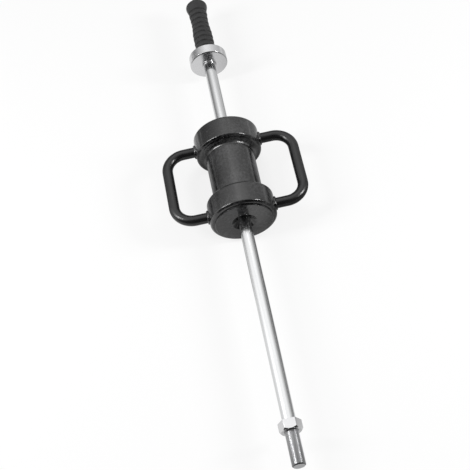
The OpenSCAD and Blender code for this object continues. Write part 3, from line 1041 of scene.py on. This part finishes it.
def finish_inner_nodes():
    """Gives the solids that keep their own shape a real finish."""
    steel = plain_metal("machined_steel", (0.42, 0.43, 0.45), (0.55, 0.56, 0.57), (0.30, 0.42))
    bronze = plain_metal("sintered_bronze", (0.50, 0.33, 0.15), (0.68, 0.47, 0.24), (0.36, 0.48))
    plastic = core_plastic()
    finishes = {
        "guide_sleeve": steel, "circlip_lower": steel, "circlip_upper": steel, "collar_nut": steel,
        "bush_lower": bronze, "bush_upper": bronze, "grip_core": plastic,
    }
    for node, finish in finishes.items():
        mesh = frame["nodes"][node].data
        mesh.materials.clear()
        mesh.materials.append(finish)


# Studio

CAMERA_PLACE = (-0.52639, 0.01956, 1.44043)
CAMERA_TURN = (31.7693, 6.4892, -100.3917)
CAMERA_LENS = 84.36
CAMERA_FILM = 36

FLOOR_Z = -FLANGE_R
FLOOR_X = (-0.30, 1.80)
FLOOR_Y = (-1.0, 1.0)
FLOOR_MIDDLE = [(low + high) / 2 for low, high in (FLOOR_X, FLOOR_Y)]
FLOOR_REACH = [(high - low) / 2 for low, high in (FLOOR_X, FLOOR_Y)]
FLOOR_PAINT = (0.93, 0.93, 0.93, 1)
# How much of the floor's white is plain round the tool, and where all of it is, as shares of the
# floor's reach from its middle
FLOOR_WHITE_SHARE = 0.8
FLOOR_WHITE_EDGE = (0.75, 0.97)
FLOOR_MIRROR_SHARE = 0.9
# Soft patches of painted shadow that shiny pieces mirror in the floor: middle X and Y, reach along
# X and Y, and darkness, which is below 0 for a patch of painted light
FLOOR_PATCHES = [
    ((0.34, -0.285), (0.33, 0.33), 0.88), ((0.68, -0.28), (0.30, 0.29), 0.60),
    ((0.84, 0.52), (0.40, 0.34), 0.85), ((0.58, 0.20), (0.12, 0.12), 0.80),
    ((0.495, 0.12), (0.06, 0.06), 0.65), ((0.55, 0.01), (0.08, 0.10), 0.75),
    ((0.37, 0.04), (0.07, 0.08), 0.40), ((0.35, -0.022), (0.035, 0.03), -0.9),
    ((-0.07, 0.0), (0.14, 0.12), 0.45), ((1.75, 0.0), (0.60, 1.20), 0.85),
]
PATCH_EDGE = (0.55, 1.1)

# How bright the surroundings mirror in shiny metal, by the turn round X from straight up, in
# degrees. Plus is the photograph's left. The near ring shows in the lower rod, the middle one in
# the weight, and the far one past it.
NEAR_RING = [
    (-180, 0.7), (-100, 0.25), (-80, 0.30), (-60, 0.66), (-40, 1.05), (-20, 1.42), (20, 1.42),
    (40, 1.55), (60, 1.50), (80, 1.15), (100, 1.0), (180, 0.9),
]
MIDDLE_RING = [
    (-180, 0.6), (-120, 0.5), (-80, 0.5), (-60, 0.92), (-40, 1.12), (-20, 1.7), (0, 2.5),
    (20, 1.35), (40, 0.96), (60, 0.50), (80, 0.14), (120, 0.14), (180, 0.6),
]
FAR_RING = [
    (-180, 0.8), (-90, 0.70), (-60, 0.80), (-40, 0.96), (-20, 1.14), (0, 1.13), (20, 0.93),
    (40, 0.64), (60, 0.40), (80, 0.31), (100, 0.5), (180, 0.9),
]
RING_SCALE = 2.5
# Where one part of the surroundings gives way to the next, by a direction's share of +X. The
# front lies before the thread's face, and the back past the grip's end.
MIDDLE_RING_EDGE = (0.53, 0.56)
FAR_RING_EDGE = (0.57, 0.625)
RINGS_EDGE = (0.10, 0.35)
FRONT_EDGE = (-0.34, -0.10)
FRONT_LEVELS = (0.05, 0.95)
BACK_EDGE = (0.80, 0.92)
BACK_LEVELS = (1.0, 0.1)
DIFFUSE_LEVEL = 0.40

# Lamps: name, place, length and width, and power
LAMPS = [
    ("left_softbox", (0.46, 1.16, 1.16), (0.90, 0.24), 15),
    ("right_softbox", (0.16, -1.34, 0.92), (0.50, 0.24), 14),
]
LAMP_TARGET = (0.45, 0, 0)


def make_camera():
    """The photograph's view: over the thread's end, from above."""
    camera = bpy.data.cameras.new("camera")
    camera.lens = CAMERA_LENS
    camera.sensor_width = CAMERA_FILM
    viewer = bpy.data.objects.new("camera", camera)
    viewer.location = CAMERA_PLACE
    viewer.rotation_euler = [math.radians(turn) for turn in CAMERA_TURN]
    bpy.context.scene.collection.objects.link(viewer)
    bpy.context.scene.camera = viewer


def patch_distance(tree, spot, middle, reach):
    """How far a spot of the floor is from a patch's middle, as a share of the patch's reach."""
    across = [maths(tree, "DIVIDE", less(tree, spot[i], middle[i]), reach[i]) for i in (0, 1)]
    return length_of(tree, *across)


def mirrored_floor(tree, spot):
    """The floor's level as shiny pieces mirror it, with painted shadow patches on it."""
    level = 1.0
    for middle, reach, darkness in FLOOR_PATCHES:
        distance = patch_distance(tree, spot, middle, reach)
        patch = ramp(tree, distance, *PATCH_EDGE, 1 - darkness, 1.0, "SMOOTHSTEP")
        level = product(tree, level, patch)
    return level


def seen_share(tree, spot):
    """How much of the floor's white is plain: less round the tool, where soft shadows show."""
    distance = patch_distance(tree, spot, FLOOR_MIDDLE, FLOOR_REACH)
    return ramp(tree, distance, *FLOOR_WHITE_EDGE, FLOOR_WHITE_SHARE, 1.0, "SMOOTHSTEP")


def make_floor():
    """A plain pale floor under the two flanges."""
    mesh = bpy.data.meshes.new("floor")
    corners = [(0, 0), (1, 0), (1, 1), (0, 1)]
    mesh.from_pydata([(FLOOR_X[i], FLOOR_Y[j], FLOOR_Z) for i, j in corners], [], [(0, 1, 2, 3)])
    floor = bpy.data.objects.new("floor", mesh)
    bpy.context.scene.collection.objects.link(floor)
    material, tree, shader, place = new_finish("pale_floor")
    shader.inputs["Base Color"].default_value = FLOOR_PAINT
    shader.inputs["Roughness"].default_value = 0.9
    shader.inputs["Specular IOR Level"].default_value = 0.0
    spot = separate(tree, place)
    rays = tree.nodes.new("ShaderNodeLightPath").outputs
    camera, glossy = rays["Is Camera Ray"], rays["Is Glossy Ray"]
    # Shiny pieces see the floor's white with the painted shadow patches on it.
    level = total(tree, camera, product(tree, glossy, mirrored_floor(tree, spot)))
    white = add(tree, "ShaderNodeEmission", {"Strength": level}).outputs[0]
    share = total(tree, product(tree, camera, seen_share(tree, spot)),
                  product(tree, glossy, FLOOR_MIRROR_SHARE))
    mix = add(tree, "ShaderNodeMixShader", {0: share, 1: shader.outputs[0], 2: white})
    tree.links.new(mix.outputs[0], tree.nodes["Material Output"].inputs["Surface"])
    mesh.materials.append(material)


def ring_level(tree, turn, stops):
    """The level at a turn round X, smooth between the stops."""
    node = add(tree, "ShaderNodeValToRGB", {0: total(tree, turn, 0.5)})
    node.color_ramp.interpolation = "EASE"
    elements = node.color_ramp.elements
    elements.remove(elements[1])
    for i, (degrees, level) in enumerate(stops):
        place = degrees / 360 + 0.5
        element = elements[0] if i == 0 else elements.new(place)
        element.position = place
        element.color = (level / RING_SCALE,) * 3 + (1,)
    return product(tree, node.outputs[0], RING_SCALE)


def make_world():
    """White surroundings, which shiny metal sees as softboxes with darker gaps between them."""
    world = bpy.data.worlds.new("studio")
    world.use_nodes = True
    bpy.context.scene.world = world
    tree = world.node_tree
    rays = tree.nodes.new("ShaderNodeLightPath").outputs
    camera, glossy = rays["Is Camera Ray"], rays["Is Glossy Ray"]
    way = tree.nodes.new("ShaderNodeTexCoord").outputs["Generated"]
    x, y, z = separate(tree, way)
    turn = turn_of(tree, y, z)
    rings = ring_level(tree, turn, NEAR_RING)
    for stops, edge in ((MIDDLE_RING, MIDDLE_RING_EDGE), (FAR_RING, FAR_RING_EDGE)):
        rings = blend(tree, ramp(tree, x, *edge), rings, ring_level(tree, turn, stops))
    front = ramp(tree, x, *FRONT_EDGE, *FRONT_LEVELS, "SMOOTHSTEP")
    level = blend(tree, ramp(tree, x, *RINGS_EDGE, kind="SMOOTHSTEP"), front, rings)
    back = ramp(tree, x, *BACK_EDGE, *BACK_LEVELS, "SMOOTHSTEP")
    seen = total(tree, camera, product(tree, glossy, level, back))
    unseen = less(tree, 1.0, total(tree, camera, glossy))
    strength = total(tree, seen, product(tree, unseen, DIFFUSE_LEVEL))
    background = tree.nodes["Background"]
    background.inputs["Color"].default_value = (1, 1, 1, 1)
    feed(tree, strength, background.inputs["Strength"])


def make_lamp(name, place, size, power):
    """A soft lamp aimed at the rod, its long side across it."""
    light = bpy.data.lights.new(name, "AREA")
    light.shape = "RECTANGLE"
    light.size, light.size_y = size
    light.energy = power
    back = (Vector(place) - Vector(LAMP_TARGET)).normalized()
    long_side = (Vector((0, 1, 0)) - back * back.y).normalized()
    turned = Matrix((long_side, back.cross(long_side), back)).transposed().to_4x4()
    lamp = bpy.data.objects.new(name, light)
    lamp.matrix_world = Matrix.Translation(place) @ turned
    bpy.context.scene.collection.objects.link(lamp)


dress_rod(polished_bar(), plated_steel(), turned_steel(), grip_rubber())
dress_weight(black_paint(), handle_enamel())
finish_inner_nodes()
make_camera()
make_floor()
make_world()
for lamp in LAMPS:
    make_lamp(*lamp)
bpy.context.scene.view_settings.view_transform = "Standard"

bpy.context.view_layer.update()
